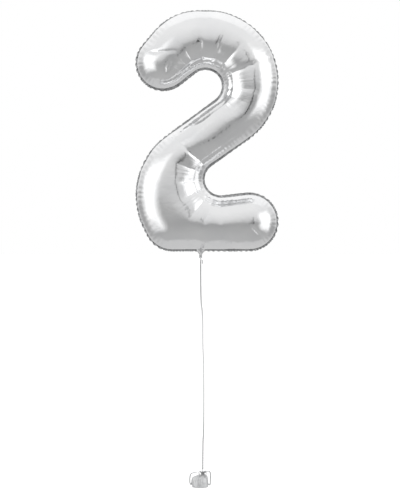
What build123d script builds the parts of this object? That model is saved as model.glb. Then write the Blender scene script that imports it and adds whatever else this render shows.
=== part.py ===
"""A foil number balloon: a silver figure 2 on a ribbon, tied to a foil-wrapped weight that stands on the floor.

Units are millimetres. +X is to the right of someone who faces the figure, +Y runs away from them and +Z is up.
The origin is the centre of the weight's flat base. Every piece is built where it sits and written to its own STEP.
"""

import os
from math import asin, atan2, cos, degrees, hypot, radians, sin, sqrt, tan

from build123d import *

# ---------------------------------------------------------------- the figure, in the XZ plane
figure_bottom = 835.0  # height of the bottom seam line above the floor
figure_height = 833.0  # bottom seam line to the top of the bowl
bowl_x = 25.0
bowl_radius = 244.0  # right side of the bowl
crown_x = -5.0
crown_radius = 197.0  # tighter curve over the left half of the top
terminal_x = -128.0
terminal_drop = 179.0  # from the top of the bowl to the centre of the stroke's rounded start
terminal_radius = 92.0
counter_x = 20.0
counter_radius = 63.0  # the hollow under the bowl
counter_drop = 260.0  # from the top of the bowl to the counter's centre
inner_corner_x = 72.0
inner_corner_radius = 62.0  # where the diagonal meets the foot
foot_radius = 97.0  # the rounded end of the foot, half the foot's height
foot_reach = 172.0  # X of the foot's rounded end
foot_rise = 10.0  # how far the inner corner sits below the foot's top line
heel_x = 36.0  # centre of the long curve round the heel
heel_height = 189.0  # its height above the bottom seam line
heel_radius = 255.0
heel_corner_x = -98.0
heel_corner_radius = 92.0

# ---------------------------------------------------------------- the foil envelope
half_depth = 94.0  # seam plane to the crown of one panel
roll_radius = 86.0  # how the panel rolls over from its seam to its crown
roll_room = 6.0  # the least that the stroke keeps beyond that roll
roll_steps = [0, 18, 36, 54, 70, 90]  # the roll's facets, in degrees round it
film = 0.25  # panel wall, thicker than the real film so that it can be meshed
seam_width = 7.0  # flat welded band outside the seam line

# ---------------------------------------------------------------- the filling neck and its valve
neck_x = 2.1  # the neck and the ribbon's top share this line
neck_root_width = 30.0  # where the neck leaves the seam
neck_pinch_width = 9.0  # where the ribbon gathers it
neck_end_width = 15.0
neck_drop = 20.0  # seam line to the top of the wraps
wraps_height = 7.5
neck_tail = 3.0  # what shows below the wraps
neck_weld = 2.0  # welded edge on each side of the neck
valve_film = 0.25
valve_gap = 0.1  # valve film to the sides of its pocket
valve_width = 34.0  # inside the balloon
valve_length = 120.0

# ---------------------------------------------------------------- the ribbon and its knots
ribbon_width = 5.0
ribbon_thickness = 0.4
knot_radius = 2.6
knot_spacing = 5.8  # between the two half knots under the neck
running_gap = 0.3  # between pieces that move past each other
wraps_wall = 1.6
wraps_fit = 0.05
tag_length = 11.0  # the ribbon's short cut end
tag_offset = 5.6
arc_share = 0.45  # share of the shorter run that an arc of the route may use
# Where the ribbon runs between its two ends: X and height, from the top down.
ribbon_route = [(2.1, 652.0), (9.8, 612.0), (9.8, 482.0), (13.3, 443.0), (13.3, 187.0), (9.8, 165.0)]

# ---------------------------------------------------------------- the weight
wrap_radius = 26.5
wrap_wall = 0.4
wrap_shoulder = 36.0  # height where the wrap starts to draw in
gather_x = 9.8  # the gathered top leans this far off the weight's centre
gather_radius = 5.0
gather_bottom = 45.0
gather_height = 4.0
ruffle_radius = 10.5
ruffle_height = 6.0
fit_gap = 0.15  # between the wrap, the cup, the lid and the slug
cup_wall = 1.2
cup_height = 25.0
slug_gap = 0.1  # from the slug to the wire's feet
lid_thickness = 2.0
wire_radius = 0.8
eye_radius = 2.4  # bend of the wire at the top of the eye
eye_height = 57.0  # top of the wire above the floor
wire_foot = 9.0  # how far the foot runs under the lid
wire_bend = 1.9  # the bend lies just under the lid
tie_wall = 2.0  # the band round the gathered neck

# ---------------------------------------------------------------- the bow
bow_ribbon_width = 4.6
bow_ribbon_thickness = 0.4
bow_root_gap = 0.1  # from the tie band to the start of each loop
# Hanging loops drop beside the wrap: name, direction in degrees, crest height and height of the lowest point.
hanging_loops = [("right", 0.0, 56.0, 9.0), ("left", 180.0, 50.0, 11.0)]
loop_hang = 8.0  # from the inner to the outer side of a hanging loop
# Standing loops stay above the wrap: name, direction, reach from the gather, crest and lowest height.
standing_loops = [
    ("rear_right", 60.0, 25.0, 56.0, 38.5),
    ("rear_left", 120.0, 27.0, 55.0, 38.5),
    ("front_left", 240.0, 27.0, 55.0, 38.5),
    ("front_right", 300.0, 25.0, 56.0, 38.5),
]
loop_bend = 3.2  # radius of the loops' corners
loop_clearance = 0.8  # from the loops to the wrap
loop_root_height = 47.0


# ---------------------------------------------------------------- derived places
figure_top = figure_bottom + figure_height
foot_centre_z = figure_bottom + foot_radius
foot_top = figure_bottom + 2 * foot_radius
seam_bottom = figure_bottom - seam_width
neck_layer = film + valve_film + valve_gap  # one side of the neck, with its half of the valve's pocket
wraps_top = figure_bottom - neck_drop
wraps_bottom = wraps_top - wraps_height
neck_end = wraps_bottom - neck_tail
upper_knot_z = neck_end - running_gap - knot_radius
lower_knot_z = upper_knot_z - knot_spacing
ribbon_top = lower_knot_z - knot_radius - running_gap
eye_wire_z = eye_height - wire_radius
eye_ring_radius = 2 * wire_radius + running_gap + 0.1 * wire_radius
weight_knot_z = eye_wire_z + eye_ring_radius + knot_radius
ribbon_bottom = weight_knot_z + knot_radius + running_gap
gather_top = gather_bottom + gather_height
tie_radius = gather_radius + tie_wall
neck_plane = Plane.XZ  # its normal points towards the viewer, -Y


def figure_pulleys():
    """The outline as a belt that runs clockwise round circles: (x, z, radius), with hollows above 0."""
    inner_corner_z = foot_top - foot_rise + inner_corner_radius
    return [
        (bowl_x, figure_top - bowl_radius, -bowl_radius),
        (inner_corner_x, inner_corner_z, inner_corner_radius),
        (foot_reach, foot_centre_z, -foot_radius),
        (heel_corner_x, figure_bottom + heel_corner_radius, -heel_corner_radius),
        (heel_x, figure_bottom + heel_height, -heel_radius),
        (counter_x, figure_top - counter_drop, counter_radius),
        (terminal_x, figure_top - terminal_drop, -terminal_radius),
        (crown_x, figure_top - crown_radius, -crown_radius),
    ]


def belt_heading(start, end):
    """The direction of the straight run from one pulley to the next, in radians."""
    dx, dz = end[0] - start[0], end[1] - start[1]
    lean = (end[2] - start[2]) / hypot(dx, dz)
    return atan2(dz, dx) - asin(max(-1.0, min(1.0, lean)))


def figure_outline(grow=0.0):
    """The outline as a flat face, moved outwards by grow."""
    pulleys = [(x, z, r - grow) for x, z, r in figure_pulleys()]
    count = len(pulleys)
    headings = [belt_heading(pulleys[i], pulleys[(i + 1) % count]) for i in range(count)]
    corners = []
    for i, (x, z, r) in enumerate(pulleys):
        inwards, outwards = headings[i - 1], headings[i]
        first = (x + r * sin(inwards), z - r * cos(inwards))
        last = (x + r * sin(outwards), z - r * cos(outwards))
        corners.append((first, last))
    with BuildSketch() as outline:
        with BuildLine():
            for i, (x, z, r) in enumerate(pulleys):
                turn = (degrees(headings[i] - headings[i - 1]) + 180) % 360 - 180
                if r < 0 and turn > 0:
                    turn -= 360
                if r > 0 and turn < 0:
                    turn += 360
                first, last = corners[i]
                middle = headings[i - 1] + radians(turn) / 2
                ThreePointArc(first, (x + r * sin(middle), z - r * cos(middle)), last)
                Line(last, corners[(i + 1) % count][0])
        make_face()
    return outline.sketch


def narrowest_half_stroke():
    """Half the gap between the two edges of the diagonal, the narrowest part of the stroke."""
    pulleys = figure_pulleys()
    edge = belt_heading(pulleys[4], pulleys[5])
    x, z, radius = pulleys[0]
    to_hollow = (pulleys[5][0] - x, pulleys[5][1] - z)
    across = to_hollow[0] * -sin(edge) + to_hollow[1] * cos(edge)
    return (abs(radius) - pulleys[5][2] - abs(across)) / 2


def dome(inset):
    """One side of the blown-up figure as a solid that rolls over from the seam in flat steps, taken in by inset."""
    room = min(narrowest_half_stroke(), foot_radius, terminal_radius, heel_corner_radius)
    roll = min(roll_radius, room - roll_room)
    outlines = [figure_outline(-inset - roll * (1 - cos(radians(angle)))) for angle in roll_steps]
    with BuildPart() as side:
        for angle, outline in zip(roll_steps, outlines):
            with BuildSketch(neck_plane.offset((half_depth - inset) * sin(radians(angle)))):
                add(outline)
        loft(ruled=True)
    return side.part


def neck_outline(margin):
    """The neck's edge, drawn down from inside the figure to its cut end, taken in by margin."""
    inside = figure_bottom + 2 * seam_width
    halves = [
        (neck_root_width / 2 - margin, inside),
        (neck_root_width / 2 - margin, seam_bottom),
        (neck_pinch_width / 2 - margin, wraps_top),
        (neck_pinch_width / 2 - margin, wraps_bottom),
        (neck_end_width / 2 - margin, neck_end),
    ]
    right = [(neck_x + half, z) for half, z in halves]
    left = [(neck_x - half, z) for half, z in reversed(halves)]
    with BuildSketch() as outline:
        with BuildLine():
            Polyline(*right, *left, close=True)
        make_face()
    return outline.sketch


def make_front_panel():
    """One foil panel: the blown-up side, its share of the flat welded seam, and its side of the neck."""
    outside, inside = dome(0.0), dome(film)
    seam, neck, neck_pocket = figure_outline(seam_width), neck_outline(0.0), neck_outline(neck_weld)
    with BuildPart() as front_foil_panel:
        add(outside)
        with BuildSketch(neck_plane):
            add(seam)
        extrude(amount=film)
        with BuildSketch(neck_plane):
            add(neck)
        extrude(amount=neck_layer)
        add(inside, mode=Mode.SUBTRACT)
        with BuildSketch(neck_plane):
            add(neck_pocket)
        extrude(amount=neck_layer - film, mode=Mode.SUBTRACT)
    return front_foil_panel.part


def make_valve_front_film():
    """One film of the self-sealing valve, which lies flat in the neck and runs up inside the balloon."""
    in_neck = neck_outline(neck_weld + valve_gap)
    with BuildPart() as valve_front_film:
        with BuildSketch(neck_plane):
            add(in_neck)
            with Locations((neck_x, figure_bottom + 2 * seam_width + valve_length / 2)):
                Rectangle(valve_width, valve_length)
        extrude(amount=valve_film)
    return valve_front_film.part


def make_neck_wraps():
    """Turns of ribbon drawn tight round the gathered neck."""
    inner_x = neck_pinch_width + 2 * wraps_fit
    inner_y = 2 * neck_layer + 2 * wraps_fit
    with BuildPart() as neck_wraps:
        with BuildSketch(Plane.XY.offset(wraps_bottom)):
            with Locations((neck_x, 0)):
                RectangleRounded(inner_x + 2 * wraps_wall, inner_y + 2 * wraps_wall, wraps_wall)
                Rectangle(inner_x, inner_y, mode=Mode.SUBTRACT)
        extrude(amount=wraps_height)
    return neck_wraps.part


def make_half_knot(height):
    with BuildPart() as half_knot:
        with Locations((neck_x, 0, height)):
            Sphere(knot_radius)
    return half_knot.part


def make_ribbon_tag():
    """The short cut end that hangs beside the ribbon from the lower half knot."""
    root_z = lower_knot_z
    with BuildPart() as ribbon_tag_end:
        with BuildSketch(Plane.XZ.offset(-ribbon_thickness / 2)):
            with BuildLine():
                Polyline(
                    (neck_x + knot_radius, root_z + ribbon_width / 3),
                    (neck_x + tag_offset + ribbon_width / 2, root_z - ribbon_width / 3),
                    (neck_x + tag_offset + ribbon_width / 2, root_z - tag_length),
                    (neck_x + tag_offset - ribbon_width / 2, root_z - tag_length + ribbon_width / 2),
                    (neck_x + tag_offset - ribbon_width / 2, root_z - ribbon_width / 2),
                    close=True,
                )
            make_face()
        extrude(amount=ribbon_thickness)
    return ribbon_tag_end.part


def ribbon_radii(points):
    """The largest arc at each inner point of the route that its two runs leave room for."""
    radii = []
    for before, here, after in zip(points, points[1:], points[2:]):
        first = Vector(here) - Vector(before)
        second = Vector(after) - Vector(here)
        half_turn = radians(first.get_angle(second)) / 2
        radii.append(arc_share * min(first.length, second.length) / tan(half_turn))
    return radii


def make_ribbon():
    """The ribbon's free run: straight stretches joined by wide arcs, from the half knots to the weight."""
    route_points = [(neck_x, ribbon_top), *ribbon_route, (gather_x, ribbon_bottom)]
    points = [(x, 0, z) for x, z in route_points]
    radii = ribbon_radii(points)
    with BuildPart() as ribbon:
        with BuildLine() as route:
            FilletPolyline(*points, radius=radii)
        with BuildSketch(Plane((neck_x, 0, ribbon_top), x_dir=(1, 0, 0), z_dir=(0, 0, -1))):
            Rectangle(ribbon_width, ribbon_thickness)
        sweep(path=route.wire())
    section = ribbon_width * ribbon_thickness
    print("ribbon radii", [round(r) for r in radii], "length", round(route.wire().length, 1))
    print("ribbon volume", round(ribbon.part.volume, 1), "section x length", round(section * route.wire().length, 1))
    return ribbon.part


def make_weight_knot():
    """A turn of ribbon through the wire eye, and the knot above it."""
    with BuildPart() as weight_knot:
        with Locations(Location((gather_x, 0, eye_wire_z), (0, 90, 0))):
            Torus(eye_ring_radius, wire_radius * 0.7)
        with Locations((gather_x, 0, weight_knot_z)):
            Sphere(knot_radius)
    return weight_knot.part


def wrap_solid(inset):
    """The foil wrap's outside, or with an inset its inside: a cylinder drawn in to a leaning neck, then a ruffle."""
    bottom = inset
    with BuildPart() as outside:
        with BuildSketch(Plane.XY.offset(bottom)):
            Circle(wrap_radius - inset)
        extrude(amount=wrap_shoulder - bottom)
        with BuildSketch(Plane.XY.offset(wrap_shoulder)):
            Circle(wrap_radius - inset)
        with BuildSketch(Plane.XY.offset(gather_bottom)):
            with Locations((gather_x, 0)):
                Circle(gather_radius - inset)
        loft()
        with BuildSketch(Plane.XY.offset(gather_bottom)):
            with Locations((gather_x, 0)):
                Circle(gather_radius - inset)
        extrude(amount=gather_height)
        with BuildSketch(Plane.XY.offset(gather_top)):
            with Locations((gather_x, 0)):
                Circle(gather_radius - inset)
        with BuildSketch(Plane.XY.offset(gather_top + ruffle_height)):
            with Locations((gather_x, 0)):
                Circle(ruffle_radius - inset)
        loft()
    return outside.part


def make_foil_wrap():
    """The sheet of foil wrapped round the cup and gathered on top, open at the ruffle."""
    with BuildPart() as foil_wrap:
        add(wrap_solid(0.0))
        add(wrap_solid(wrap_wall), mode=Mode.SUBTRACT)
    return foil_wrap.part


cup_radius = wrap_radius - wrap_wall - fit_gap
cup_bottom = wrap_wall + fit_gap
cup_top = cup_bottom + cup_height
slug_bottom = cup_bottom + cup_wall
wire_foot_z = cup_top - wire_bend
slug_height = wire_foot_z - wire_radius - slug_gap - slug_bottom


def make_weight_cup():
    with BuildPart() as weight_cup:
        with BuildSketch(Plane.XY.offset(cup_bottom)):
            Circle(cup_radius)
        extrude(amount=cup_height)
        with BuildSketch(Plane.XY.offset(slug_bottom)):
            Circle(cup_radius - cup_wall)
        extrude(amount=cup_height, mode=Mode.SUBTRACT)
        chamfer(weight_cup.faces().sort_by(Axis.Z)[0].edges(), cup_wall / 2)
    return weight_cup.part


def make_weight_slug():
    with BuildPart() as weight_slug:
        with BuildSketch(Plane.XY.offset(slug_bottom)):
            Circle(cup_radius - cup_wall - fit_gap)
        extrude(amount=slug_height)
        chamfer(weight_slug.edges().filter_by(GeomType.CIRCLE), cup_wall / 2)
    return weight_slug.part


def eye_legs():
    """The X of the wire eye's two legs."""
    return gather_x - eye_radius, gather_x + eye_radius


def make_weight_lid():
    """The disc that closes the cup, with a hole for each leg of the wire eye."""
    with BuildPart() as weight_lid:
        with BuildSketch(Plane.XY.offset(cup_top)):
            Circle(cup_radius)
            with Locations(*[(x, 0) for x in eye_legs()]):
                Circle(wire_radius + fit_gap, mode=Mode.SUBTRACT)
        extrude(amount=lid_thickness)
    return weight_lid.part


def make_wire_eye():
    """A wire bent to a hairpin: its feet lie under the lid and its eye stands out of the gathered foil."""
    left, right = eye_legs()
    crown_z = eye_wire_z - eye_radius
    with BuildPart() as wire_eye:
        with BuildLine() as path:
            Line((left - wire_foot, 0, wire_foot_z), (left - wire_bend, 0, wire_foot_z))
            TangentArc((left - wire_bend, 0, wire_foot_z), (left, 0, cup_top), tangent=(1, 0, 0))
            Line((left, 0, cup_top), (left, 0, crown_z))
            ThreePointArc((left, 0, crown_z), (gather_x, 0, eye_wire_z), (right, 0, crown_z))
            Line((right, 0, crown_z), (right, 0, cup_top))
            TangentArc((right, 0, cup_top), (right + wire_bend, 0, wire_foot_z), tangent=(0, 0, -1))
        with BuildSketch(Plane((left - wire_foot, 0, wire_foot_z), z_dir=(1, 0, 0))):
            Circle(wire_radius)
        sweep(path=path.wire())
    return wire_eye.part


def make_gather_tie():
    """The band of bow ribbon that ties the foil round the wire's legs."""
    with BuildPart() as gather_tie:
        with BuildSketch(Plane.XY.offset(gather_bottom)):
            with Locations((gather_x, 0)):
                Circle(tie_radius)
                Circle(gather_radius, mode=Mode.SUBTRACT)
        extrude(amount=gather_height)
        fillet(gather_tie.edges().filter_by(GeomType.CIRCLE).sort_by(SortBy.RADIUS)[-2:], tie_wall / 3)
    return gather_tie.part


def wrap_reach(direction):
    """Distance from the gather's axis to the outside of the wrap, in one direction."""
    along, across = gather_x * cos(radians(direction)), gather_x * sin(radians(direction))
    return sqrt(wrap_radius**2 - across**2) - along


def hanging_corners(direction, crest, lowest):
    """A hanging loop's corners, as distance from the gather's axis and height."""
    beside = wrap_reach(direction) + loop_clearance
    reach = beside + loop_hang
    top = [(reach / 2, crest), (reach, crest - loop_bend)]
    return top + [(reach, lowest), (beside, lowest), (beside, wrap_shoulder + loop_bend)]


def standing_corners(reach, crest, lowest):
    """A standing loop's corners, as distance from the gather's axis and height."""
    return [(reach / 2, crest), (reach, crest - loop_bend), (reach - loop_bend, lowest)]


def make_bow_loop(direction, free_corners):
    """A closed loop of flat ribbon that springs from the tie, in an upright plane through the gather."""
    corners = [(tie_radius + bow_root_gap, loop_root_height)] + free_corners
    out = (cos(radians(direction)), sin(radians(direction)), 0)
    upright = Plane(origin=(gather_x, 0, 0), x_dir=out, z_dir=(out[1], -out[0], 0))
    with BuildPart() as bow_loop:
        with BuildSketch(upright) as band:
            with BuildLine():
                Polyline(*corners, close=True)
            make_face()
            fillet(band.vertices().sort_by(Axis.X)[1:], loop_bend)
            offset(amount=-bow_ribbon_thickness, mode=Mode.SUBTRACT)
        extrude(amount=bow_ribbon_width / 2, both=True)
    return bow_loop.part


def save(part, name):
    part.label = name
    export_step(part, f"parts/{name}.step")


def main():
    os.makedirs("parts", exist_ok=True)
    front_foil_panel = make_front_panel()
    valve_front_film = make_valve_front_film()
    save(front_foil_panel, "front_foil_panel")
    save(mirror(front_foil_panel, about=Plane.XZ), "back_foil_panel")
    save(valve_front_film, "valve_front_film")
    save(mirror(valve_front_film, about=Plane.XZ), "valve_back_film")
    save(make_neck_wraps(), "neck_wraps")
    save(make_half_knot(upper_knot_z), "neck_knot")
    save(make_half_knot(lower_knot_z), "ribbon_knot")
    save(make_ribbon_tag(), "ribbon_tag_end")
    save(make_ribbon(), "ribbon")
    save(make_weight_knot(), "weight_knot")
    save(make_foil_wrap(), "foil_wrap")
    save(make_weight_cup(), "weight_cup")
    save(make_weight_slug(), "weight_slug")
    save(make_weight_lid(), "weight_lid")
    save(make_wire_eye(), "wire_eye")
    save(make_gather_tie(), "gather_tie")
    for name, direction, crest, lowest in hanging_loops:
        save(make_bow_loop(direction, hanging_corners(direction, crest, lowest)), f"bow_loop_{name}")
    for name, direction, reach, crest, lowest in standing_loops:
        save(make_bow_loop(direction, standing_corners(reach, crest, lowest)), f"bow_loop_{name}")


main()
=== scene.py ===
# %% [markdown]
# # A foil number balloon on its ribbon
# A silver figure 2 floats above a small foil-wrapped weight, tied to it by a flat ribbon. The envelope is
# two sheets of metallised film welded together round their edge and blown tight, so nearly everything that
# one sees on it is a reflection, broken by the folds that flat film makes when it is forced round a bend.
#
# The design, with its sizes and joints, is loaded first as a fixed frame. Nothing in it is moved. Every
# piece made below is put where the design has it, and takes its place on one of the design's bodies.

import math

import bpy
import numpy as np
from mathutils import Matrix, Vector, noise
from mathutils.geometry import delaunay_2d_cdt


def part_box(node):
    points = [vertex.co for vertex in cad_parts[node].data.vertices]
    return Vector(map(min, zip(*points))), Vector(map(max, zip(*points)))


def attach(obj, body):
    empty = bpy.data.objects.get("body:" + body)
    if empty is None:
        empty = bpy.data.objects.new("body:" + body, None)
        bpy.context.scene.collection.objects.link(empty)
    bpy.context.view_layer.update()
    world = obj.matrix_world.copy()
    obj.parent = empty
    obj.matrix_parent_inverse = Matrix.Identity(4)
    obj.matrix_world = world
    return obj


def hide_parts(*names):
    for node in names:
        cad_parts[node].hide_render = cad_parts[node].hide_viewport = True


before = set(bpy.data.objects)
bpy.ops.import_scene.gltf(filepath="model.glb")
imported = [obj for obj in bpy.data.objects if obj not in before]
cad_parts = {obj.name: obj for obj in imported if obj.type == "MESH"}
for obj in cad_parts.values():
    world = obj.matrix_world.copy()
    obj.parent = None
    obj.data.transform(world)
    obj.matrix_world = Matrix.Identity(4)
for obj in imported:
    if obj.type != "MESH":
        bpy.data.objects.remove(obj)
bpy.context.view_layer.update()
MM = 0.001

# %% [markdown]
# ## Camera
# The balloon is seen straight on from far away with a long lens, so that its outline shows with hardly any
# perspective. The lens follows from the height of the view and the camera's distance. The aim is about
# half-way up the object, so that the weight and the figure's top have the same small margin.

# %% Camera
VIEW_HEIGHT = 1.734  # metres from the bottom to the top of the picture
VIEW_CENTRE = Vector((0.0, 0.0, 0.8435))
CAMERA_DISTANCE = 9.0
SENSOR = 36.0

camera_data = bpy.data.cameras.new("long_lens")
camera_data.sensor_width = SENSOR
camera_data.lens = SENSOR * CAMERA_DISTANCE / VIEW_HEIGHT
camera = bpy.data.objects.new("camera", camera_data)
bpy.context.scene.collection.objects.link(camera)
camera.location = VIEW_CENTRE + Vector((0.0, -CAMERA_DISTANCE, 0.0))
camera.rotation_euler = (math.radians(90), 0.0, 0.0)
bpy.context.scene.camera = camera
print("lens", round(camera_data.lens, 1), "mm")

# %% [markdown]
# ## Small helpers
# Blender keeps a shape as a mesh and puts it in the scene through an object that holds it. The first helper
# makes both from plain lists of points and faces. The second reads back the points of an object after its
# modifiers have worked, which turns a simulation's result into numbers.


# %% Helpers for meshes
def new_object(name, points, faces, smooth=True):
    """A mesh object in the scene, from lists of points and faces."""
    mesh = bpy.data.meshes.new(name)
    mesh.from_pydata([tuple(p) for p in points], [], [tuple(f) for f in faces])
    mesh.update()
    if smooth:
        mesh.shade_smooth()
    piece = bpy.data.objects.new(name, mesh)
    bpy.context.scene.collection.objects.link(piece)
    return piece


def points_of(piece):
    """The evaluated vertices of an object, as an array with one row per vertex."""
    graph = bpy.context.evaluated_depsgraph_get()
    mesh = piece.evaluated_get(graph).data
    flat = np.empty(len(mesh.vertices) * 3)
    mesh.vertices.foreach_get("co", flat)
    return flat.reshape(-1, 3)


# %% [markdown]
# ## The ribbon's line
# The ribbon is flat curling ribbon, 5 mm wide, pulled nearly straight by the balloon's lift. Its line is a
# NURBS curve whose control points are the design's route. A flat strip is then swept along points read back
# from that curve, because a curve's own bevel would give a round cord.

# %% The ribbon's line
RIBBON_WIDTH = 5.0 * MM
RIBBON_TOP = (0.0021, 0.0, 0.7929)
RIBBON_BOTTOM = (0.0098, 0.0, 0.06368)
RIBBON_ROUTE = [
    (0.0021, 0.0, 0.652),
    (0.0098, 0.0, 0.612),
    (0.0098, 0.0, 0.482),
    (0.0133, 0.0, 0.443),
    (0.0133, 0.0, 0.187),
    (0.0098, 0.0, 0.165),
]


def curve_points(name, control_points, steps=24):
    """The points of a smooth curve of order 3 through its two ends, read back as an array."""
    data = bpy.data.curves.new(name, "CURVE")
    data.dimensions = "3D"
    data.resolution_u = steps
    spline = data.splines.new("NURBS")
    spline.points.add(len(control_points) - 1)
    for point, place in zip(spline.points, control_points):
        point.co = (*place, 1.0)
    spline.order_u = 3
    spline.use_endpoint_u = True
    holder = bpy.data.objects.new(name, data)
    mesh = bpy.data.meshes.new_from_object(holder)
    path = np.array([tuple(v.co) for v in mesh.vertices])
    bpy.data.objects.remove(holder)
    bpy.data.meshes.remove(mesh)
    return path


ribbon_path = curve_points("ribbon_line", [RIBBON_TOP, *RIBBON_ROUTE, RIBBON_BOTTOM])
ribbon_length = float(np.linalg.norm(np.diff(ribbon_path, axis=0), axis=1).sum())
print("ribbon length", round(ribbon_length, 4), "m over", len(ribbon_path), "points")


# %% [markdown]
# ## Finishes
# Each finish is a Principled shader with its numbers set on its own sockets. What varies over a surface,
# such as crinkle, brushing or haze, comes from noise, wave and cell textures in the object's own
# coordinates, so that it stays on the piece when the piece moves. Painted pictures would do this too, but
# they need unwrapping and blur when one comes close. One helper adds a node and fills its inputs, and the
# others use it for the few things that every finish needs.


# %% Helpers for finishes
def finish(name, colour, metallic, roughness, **sockets):
    """A new material with its shader's numbers set. A socket's name has _ for each space."""
    material = bpy.data.materials.new(name)
    material.use_nodes = True
    shader = material.node_tree.nodes["Principled BSDF"]
    shader.inputs["Base Color"].default_value = (*colour, 1.0)
    shader.inputs["Metallic"].default_value = metallic
    shader.inputs["Roughness"].default_value = roughness
    for socket, value in sockets.items():
        shader.inputs[socket.replace("_", " ")].default_value = value
    return material


def add_node(tree, kind, inputs, **settings):
    """A new node with its settings. Each input gets a value, or a link if the value is a node's output."""
    node = tree.nodes.new(f"ShaderNode{kind}")
    for setting, value in settings.items():
        setattr(node, setting, value)
    for socket, value in inputs.items():
        if isinstance(value, bpy.types.NodeSocket):
            tree.links.new(value, node.inputs[socket])
        else:
            node.inputs[socket].default_value = value
    return node


def to_shader(material, source, socket):
    """Links a node's output to one of the shader's sockets."""
    tree = material.node_tree
    tree.links.new(source, tree.nodes["Principled BSDF"].inputs[socket])


def stretched_coordinates(material, scale=(1.0, 1.0, 1.0)):
    """The object's own coordinates, scaled along each axis."""
    place = add_node(material.node_tree, "TexCoord", {}).outputs["Object"]
    return add_node(material.node_tree, "Mapping", {"Vector": place, "Scale": scale}).outputs["Vector"]


def noise_texture(material, vector, scale, detail=3.0, distortion=0.0):
    """The grey value of a noise over the given coordinates."""
    inputs = {"Vector": vector, "Scale": scale, "Detail": detail, "Distortion": distortion}
    return add_node(material.node_tree, "TexNoise", inputs).outputs["Fac"]


def bump(material, height, distance, strength=1.0, below=None):
    """Raises the surface by a height texture, on top of the bump below it if there is one."""
    inputs = {"Height": height, "Distance": distance, "Strength": strength}
    if below is not None:
        inputs["Normal"] = below
    normal = add_node(material.node_tree, "Bump", inputs).outputs["Normal"]
    to_shader(material, normal, "Normal")
    return normal


def between(material, factor, socket, low, high):
    """Spreads a texture's middle over a range of one of the shader's sockets."""
    inputs = {"Value": factor, "From Min": 0.3, "From Max": 0.7, "To Min": low, "To Max": high}
    to_shader(material, add_node(material.node_tree, "MapRange", inputs).outputs["Result"], socket)


def tint(material, factor, dark, light):
    """Varies the base colour between two near shades."""
    ramp = add_node(material.node_tree, "ValToRGB", {"Fac": factor})
    for element, place, colour in zip(ramp.color_ramp.elements, (0.3, 0.7), (dark, light)):
        element.position = place
        element.color = (*colour, 1.0)
    to_shader(material, ramp.outputs["Color"], "Base Color")


# %% [markdown]
# ## Streaks round a hollow
# Between the sharp folds the film has many fine wrinkles that run out from each hollow of the figure. As
# mesh they would need a very dense one, so they are a height texture: a noise that changes only with the
# direction from the hollow's centre, shown between two distances from it and broken up into patches.


# %% Streaks round a hollow
def fan_of_streaks(material, centre, near, far):
    """Fine wrinkles that run out from a hollow's centre, strongest between two distances from it."""
    tree = material.node_tree
    place = add_node(tree, "TexCoord", {}).outputs["Object"]
    offset = add_node(tree, "VectorMath", {0: place, 1: centre}, operation="SUBTRACT").outputs["Vector"]
    no_depth = {0: offset, 1: (1.0, 0.0, 1.0)}
    flat = add_node(tree, "VectorMath", no_depth, operation="MULTIPLY").outputs["Vector"]
    turned = {"Vector": flat, "Rotation": (math.radians(-90), 0.0, 0.0)}
    laid_down = add_node(tree, "Mapping", turned).outputs["Vector"]
    angle = add_node(tree, "TexGradient", {"Vector": laid_down}, gradient_type="RADIAL").outputs["Fac"]
    fine = {"W": angle, "Scale": 70.0, "Detail": 2.0}
    streaks = add_node(tree, "TexNoise", fine, noise_dimensions="1D").outputs["Fac"]
    distance = add_node(tree, "VectorMath", {0: flat}, operation="LENGTH").outputs["Value"]
    limits = {"Value": distance, "From Min": near - 0.03, "From Max": far + 0.03}
    shown = add_node(tree, "ValToRGB", {"Fac": add_node(tree, "MapRange", limits).outputs["Result"]})
    stops = shown.color_ramp.elements
    stops[0].color = (0.0, 0.0, 0.0, 1.0)
    stops[1].color = (0.0, 0.0, 0.0, 1.0)
    for share in (0.3, 0.5):
        stops.new(share).color = (1.0, 1.0, 1.0, 1.0)
    in_patches = {0: noise_texture(material, place, 16.0, 1.0), 1: shown.outputs["Color"]}
    patchy = add_node(tree, "Math", in_patches, operation="MULTIPLY").outputs["Value"]
    return add_node(tree, "Math", {0: streaks, 1: patchy}, operation="MULTIPLY").outputs["Value"]


# %% [markdown]
# ## Silver film
# Metallised film is a mirror that is never quite flat. Three sizes of crinkle are laid over each other: the
# slow waviness of a stretched sheet, the small crinkle of film that has been folded in its packet, and a
# fine grain that takes the edge off every reflection. The streaks of the two hollows lie between them. The
# weld is the same film pressed by a hot tool, so it is duller. Its dark grey and its darker patches are
# painted shade, standing in for the shadows in the gaps along its scalloped edge.


# %% Silver film
UNDER_BOWL = (0.020, 0.0, 1.408)
INNER_CORNER = (0.072, 0.0, 1.081)


def make_silver_film():
    material = finish("silver_film", (0.86, 0.865, 0.87), 1.0, 0.16)
    everywhere = stretched_coordinates(material)
    slow = bump(material, noise_texture(material, everywhere, 22.0, 2.0, 0.6), 0.0014, 0.5)
    small = bump(material, noise_texture(material, everywhere, 95.0, 3.0, 1.2), 0.0004, 0.5, slow)
    streaked = bump(material, fan_of_streaks(material, UNDER_BOWL, 0.085, 0.165), 0.0016, 0.8, small)
    streaked = bump(material, fan_of_streaks(material, INNER_CORNER, 0.080, 0.175), 0.0016, 0.8, streaked)
    bump(material, noise_texture(material, everywhere, 900.0, 2.0), 0.00004, 0.5, streaked)
    between(material, noise_texture(material, everywhere, 35.0), "Roughness", 0.1, 0.17)
    tint(material, noise_texture(material, everywhere, 12.0), (0.83, 0.835, 0.845), (0.89, 0.892, 0.895))
    return material


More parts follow.
